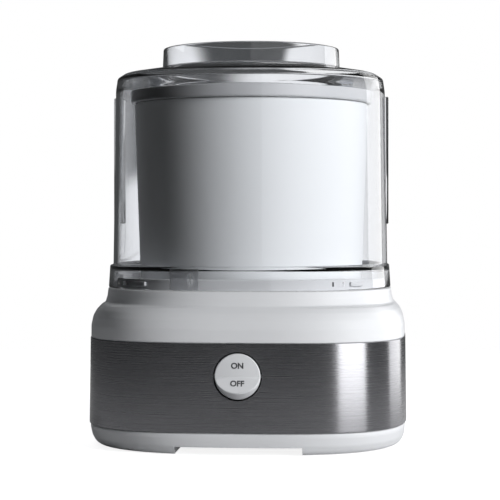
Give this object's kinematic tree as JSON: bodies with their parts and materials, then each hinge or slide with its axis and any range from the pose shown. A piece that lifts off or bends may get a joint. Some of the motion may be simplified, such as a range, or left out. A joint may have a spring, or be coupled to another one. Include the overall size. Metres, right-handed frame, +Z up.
{
  "type": "ice cream maker",
  "caption": "Countertop ice cream maker with a clear lid and spout, a double-walled freezer bowl on a geared drive, a fixed paddle and a rocker switch.",
  "frame": {"origin": "on the floor, under the bowl's axis", "axes": "+Z up along the bowl's axis, the switch faces -Y, +X is the user's right"},
  "size_m": [0.2288, 0.2374, 0.2858],
  "materials": {
    "white_plastic": "glossy moulded",
    "bowl_plastic": "satin gloss",
    "clear_plastic": "clear polished",
    "brushed_band": "fine horizontal brushing",
    "black_plastic": "matt moulded",
    "rubber": "matt",
    "steel": "zinc plated",
    "brass": "machined",
    "aluminium": "spun satin",
    "copper_winding": "enamelled wire",
    "magnet": "sintered",
    "nylon": "natural nylon"
  },
  "bodies": {
    "base": {"base_housing": "white_plastic", "steel_band": "brushed_band", "bottom_pan": "white_plastic", "foot_front_left": "rubber", "foot_front_right": "rubber", "foot_rear_left": "rubber", "foot_rear_right": "rubber", "pan_screw_1": "steel", "pan_screw_2": "steel", "pan_screw_3": "steel", "pan_screw_4": "steel", "cord_gland": "rubber", "switch_body": "black_plastic", "rocker_pin": "steel", "motor_can": "steel", "motor_coil": "copper_winding", "motor_bush": "brass", "gear_plate_lower": "steel", "gear_plate_upper": "steel", "gear_post_1": "steel", "gear_post_2": "steel", "gear_post_3": "steel", "gear_post_4": "steel", "idler_axle": "steel", "output_bush_lower": "brass", "output_bush_upper": "brass", "hub_seal": "rubber"},
    "switch": {"power_rocker": "white_plastic"},
    "motor": {"motor_rotor": "magnet", "motor_shaft": "steel", "motor_pinion": "brass"},
    "idler": {"idler_gear": "nylon"},
    "drive": {"output_gear": "nylon", "output_shaft": "steel", "drive_hub": "black_plastic"},
    "stirrer": {"paddle": "white_plastic"},
    "bowl": {"bowl_shell": "bowl_plastic", "bowl_liner": "aluminium", "bowl_rim": "bowl_plastic", "bowl_socket": "black_plastic"},
    "cover": {"lid": "clear_plastic"}
  },
  "joints": [
    {"name": "rocker_tilt", "type": "hinge", "parent": "base", "child": "switch", "pos_m": [0, -0.1085, 0.054], "axis": [1, 0, 0], "range_deg": [0, 14]},
    {"name": "bowl_lift", "type": "slide", "parent": "base", "child": "stirrer", "axis": [0, 0, 1], "range_m": [0, 0.17]},
    {"name": "bowl_spin", "type": "hinge", "parent": "stirrer", "child": "bowl", "pos_m": [0, 0, 0.109], "axis": [0, 0, 1], "continuous": true},
    {"name": "lid_lift", "type": "slide", "parent": "stirrer", "child": "cover", "axis": [0, 0, 1], "range_m": [0, 0.16]},
    {"name": "hub_spin", "type": "hinge", "parent": "base", "child": "drive", "pos_m": [0, 0, 0.1], "axis": [0, 0, 1], "continuous": true},
    {"name": "idler_spin", "type": "hinge", "parent": "base", "child": "idler", "pos_m": [-0.01038, 0.05889, 0.07], "axis": [0, 0, 1], "continuous": true},
    {"name": "motor_spin", "type": "hinge", "parent": "base", "child": "motor", "pos_m": [0.04036, 0.04042, 0.04], "axis": [0, 0, 1], "continuous": true}
  ],
  "couplings": [
    {"joint": "hub_spin", "follows": "bowl_spin", "ratio": 1},
    {"joint": "idler_spin", "follows": "bowl_spin", "ratio": -3.3333},
    {"joint": "motor_spin", "follows": "bowl_spin", "ratio": 13.333}
  ]
}
